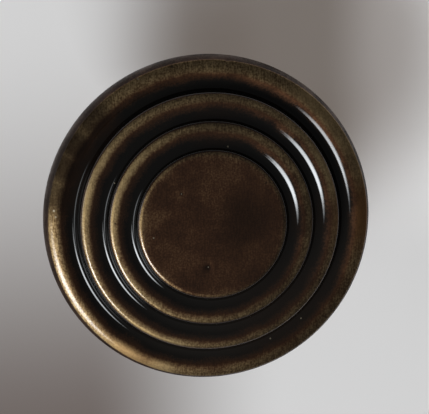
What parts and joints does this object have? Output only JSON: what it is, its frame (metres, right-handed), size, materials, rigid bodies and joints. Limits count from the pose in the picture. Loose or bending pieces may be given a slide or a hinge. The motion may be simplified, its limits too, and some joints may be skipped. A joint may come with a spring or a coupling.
{
  "type": "ringed cabinet knob",
  "caption": "Round cabinet knob with raised rings stepping up to a flat centre disc, a flared neck and a tapped foot, for pulling a drawer or door.",
  "frame": {"origin": "middle of the foot's flat face, on the screw's axis", "axes": "+Z runs out of the drawer front along the screw's axis, towards the face with the rings; the knob is round, so X and Y are free"},
  "size_m": [0.032, 0.032, 0.025],
  "materials": {
    "antique_brass": "dark patina brushed back to brass on the crests and the disc, under clear lacquer"
  },
  "bodies": {
    "root": {"knob": "antique_brass"}
  },
  "joints": []
}
